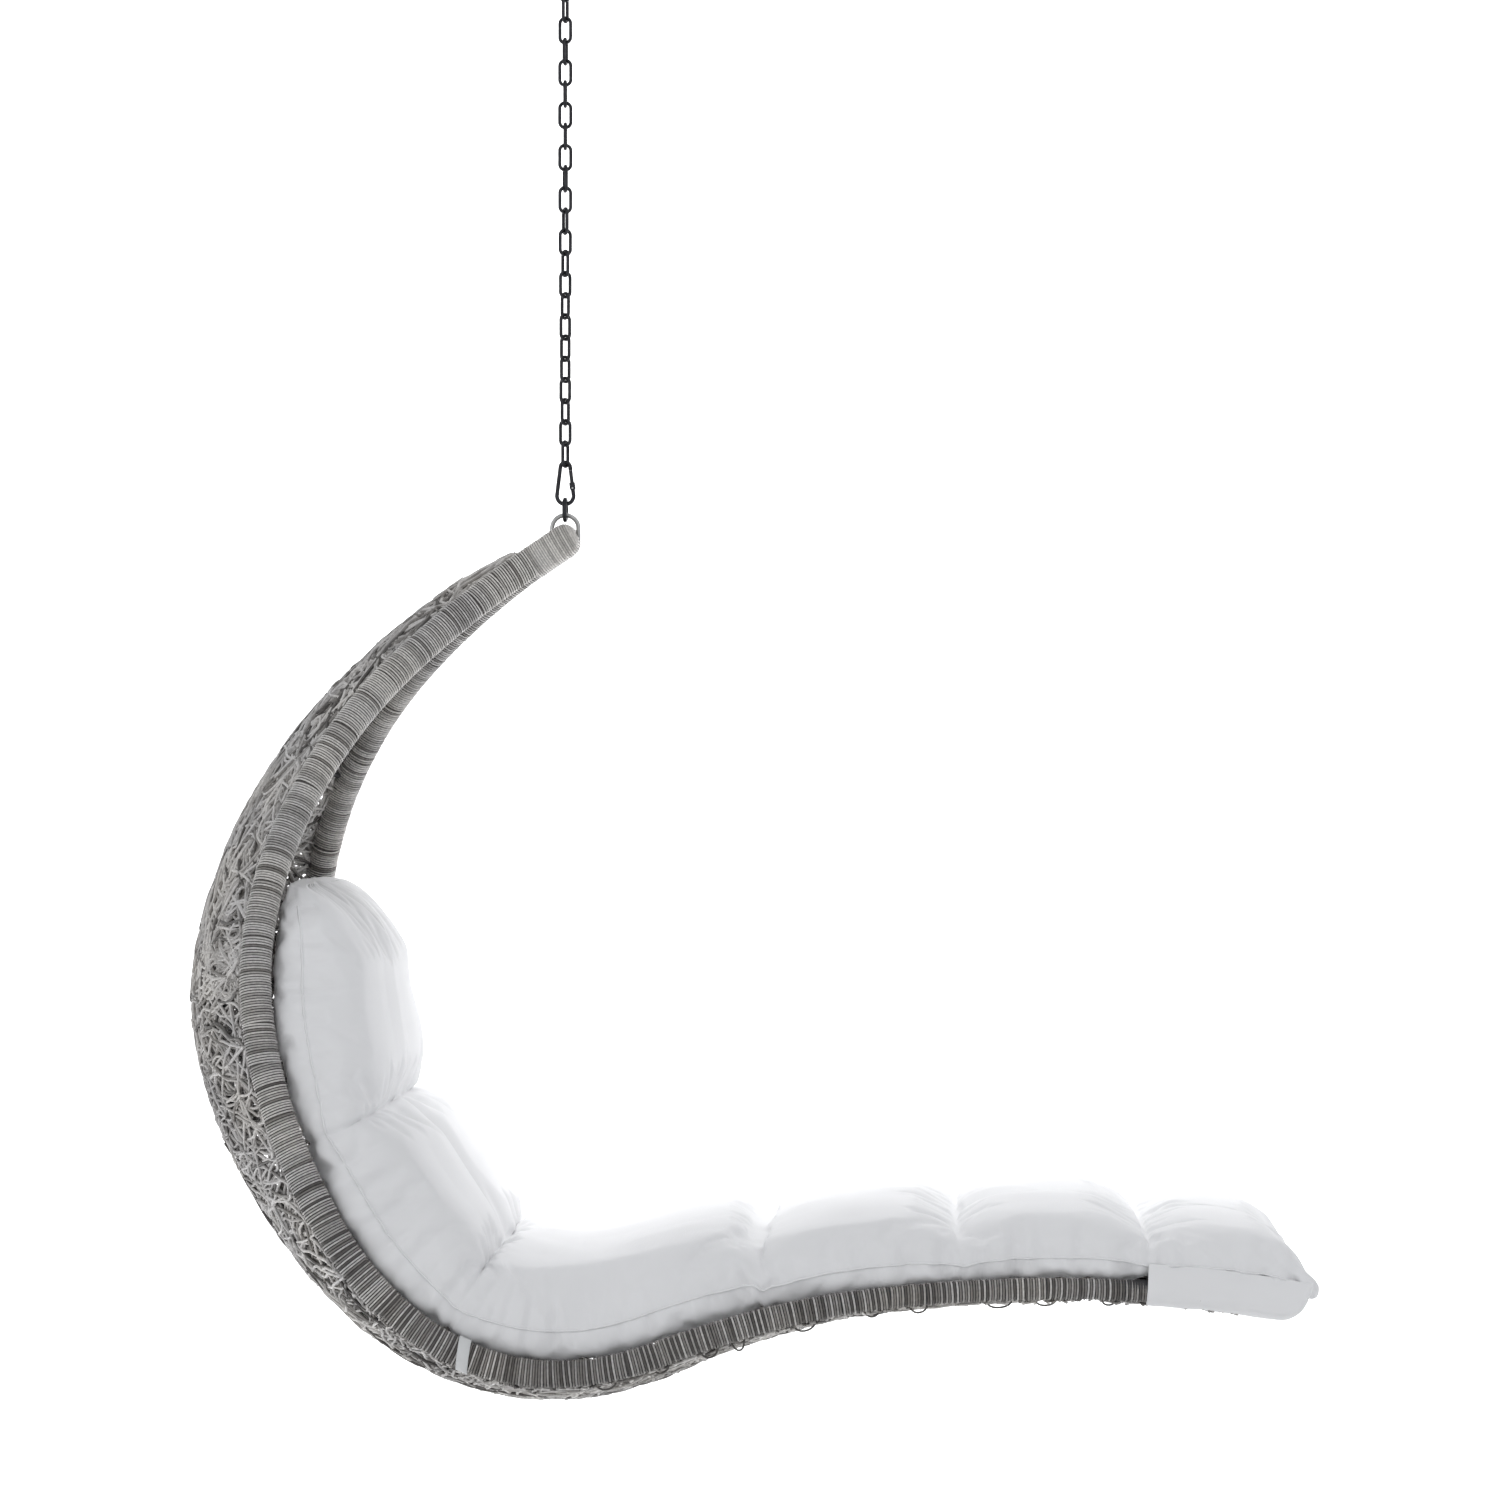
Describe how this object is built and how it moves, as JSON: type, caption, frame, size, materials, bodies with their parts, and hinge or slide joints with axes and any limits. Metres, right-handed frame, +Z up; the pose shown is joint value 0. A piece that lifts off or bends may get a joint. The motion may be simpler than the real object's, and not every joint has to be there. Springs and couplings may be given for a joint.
{
  "type": "porch swing",
  "caption": "Hanging chaise lounge: wrapped S-shaped frame with a woven bowl back and a long channelled cushion, hung by a chain from a ceiling swivel.",
  "frame": {"origin": "centre of the ceiling plate's top face, where it meets the ceiling", "axes": "+Z up along the hang line, +X the way the sitter faces, +Y the sitter's left"},
  "size_m": [1.5905, 0.777, 2.1882],
  "materials": {
    "dark_steel": "satin",
    "plain_steel": "satin",
    "brass": "satin",
    "black_frame": "satin",
    "wicker": "satin",
    "cushion_cloth": "matte",
    "webbing": "matte"
  },
  "bodies": {
    "ceiling_fitting": {"ceiling_plate": "dark_steel", "swivel_housing": "dark_steel", "thrust_washer": "brass"},
    "swivel": {"swivel_eye_bolt": "dark_steel", "swivel_nut": "dark_steel"},
    "upper_snap_hook": {"upper_hook": "dark_steel", "upper_gate_pin": "plain_steel"},
    "upper_hook_gate": {"upper_gate": "dark_steel", "upper_gate_spring": "plain_steel"},
    "upper_chain": {"chain_link_01": "dark_steel", "chain_link_02": "dark_steel", "chain_link_03": "dark_steel", "chain_link_04": "dark_steel", "chain_link_05": "dark_steel", "chain_link_06": "dark_steel", "chain_link_07": "dark_steel", "chain_link_08": "dark_steel", "chain_link_09": "dark_steel", "chain_link_10": "dark_steel", "chain_link_11": "dark_steel"},
    "middle_link": {"chain_link_12": "dark_steel"},
    "lower_chain": {"chain_link_13": "dark_steel", "chain_link_14": "dark_steel", "chain_link_15": "dark_steel", "chain_link_16": "dark_steel", "chain_link_17": "dark_steel", "chain_link_18": "dark_steel", "chain_link_19": "dark_steel", "chain_link_20": "dark_steel", "chain_link_21": "dark_steel", "chain_link_22": "dark_steel", "chain_link_23": "dark_steel", "chain_link_24": "dark_steel", "lower_hook": "dark_steel", "lower_gate_pin": "plain_steel"},
    "lower_hook_gate": {"lower_gate": "dark_steel", "lower_gate_spring": "plain_steel"},
    "ring": {"hanger_ring": "dark_steel"},
    "lounger": {"hanger_bail": "plain_steel", "apex_block": "black_frame", "apex_wrap": "wicker", "right_rail": "black_frame", "left_rail": "black_frame", "right_rail_wrap": "wicker", "left_rail_wrap": "wicker", "right_tie_strap": "webbing", "left_tie_strap": "webbing", "foot_bar": "black_frame", "back_spine": "black_frame", "upper_back_rib": "black_frame", "middle_back_rib": "black_frame", "lower_back_rib": "black_frame", "seat_rib": "black_frame", "thigh_rib": "black_frame", "calf_rib": "black_frame", "back_weave": "wicker", "seat_weave": "wicker", "leg_weave": "wicker", "cushion": "cushion_cloth", "foot_pocket": "cushion_cloth"}
  },
  "joints": [
    {"name": "swivel_turn", "type": "hinge", "parent": "ceiling_fitting", "child": "swivel", "pos_m": [0, 0, -0.03], "axis": [0, 0, 1], "continuous": true},
    {"name": "upper_hook_swing", "type": "hinge", "parent": "swivel", "child": "upper_snap_hook", "pos_m": [0, 0, -0.07], "axis": [0.4067, 0.9135, 0], "range_deg": [-35, 35]},
    {"name": "upper_gate_swing", "type": "hinge", "parent": "upper_snap_hook", "child": "upper_hook_gate", "pos_m": [-0.00981, 0.00437, -0.0997], "axis": [0.4067, 0.9135, 0], "range_deg": [0, 24], "stiffness_Nm_per_rad": 0.02, "springref_deg": -8.59},
    {"name": "upper_chain_swing", "type": "hinge", "parent": "upper_snap_hook", "child": "upper_chain", "pos_m": [0, 0, -0.1227], "axis": [-0.9135, 0.4067, 0], "range_deg": [-35, 35]},
    {"name": "middle_link_swing", "type": "hinge", "parent": "upper_chain", "child": "middle_link", "pos_m": [0, 0, -0.4577], "axis": [0.2756, -0.9613, 0], "range_deg": [-35, 35]},
    {"name": "lower_chain_swing", "type": "hinge", "parent": "middle_link", "child": "lower_chain", "pos_m": [0, 0, -0.4882], "axis": [0.9397, 0.342, 0], "range_deg": [-35, 35]},
    {"name": "lower_gate_swing", "type": "hinge", "parent": "lower_chain", "child": "lower_hook_gate", "pos_m": [0.01074, 0, -0.8854], "axis": [0, -1, 0], "range_deg": [0, 24], "stiffness_Nm_per_rad": 0.02, "springref_deg": -8.59},
    {"name": "ring_swing", "type": "hinge", "parent": "lower_chain", "child": "ring", "pos_m": [0, 0, -0.9084], "axis": [1, 0, 0], "range_deg": [-25, 25]},
    {"name": "lounger_rock", "type": "hinge", "parent": "ring", "child": "lounger", "pos_m": [0, 0, -0.9312], "axis": [0, 1, 0], "range_deg": [-20, 20]}
  ]
}
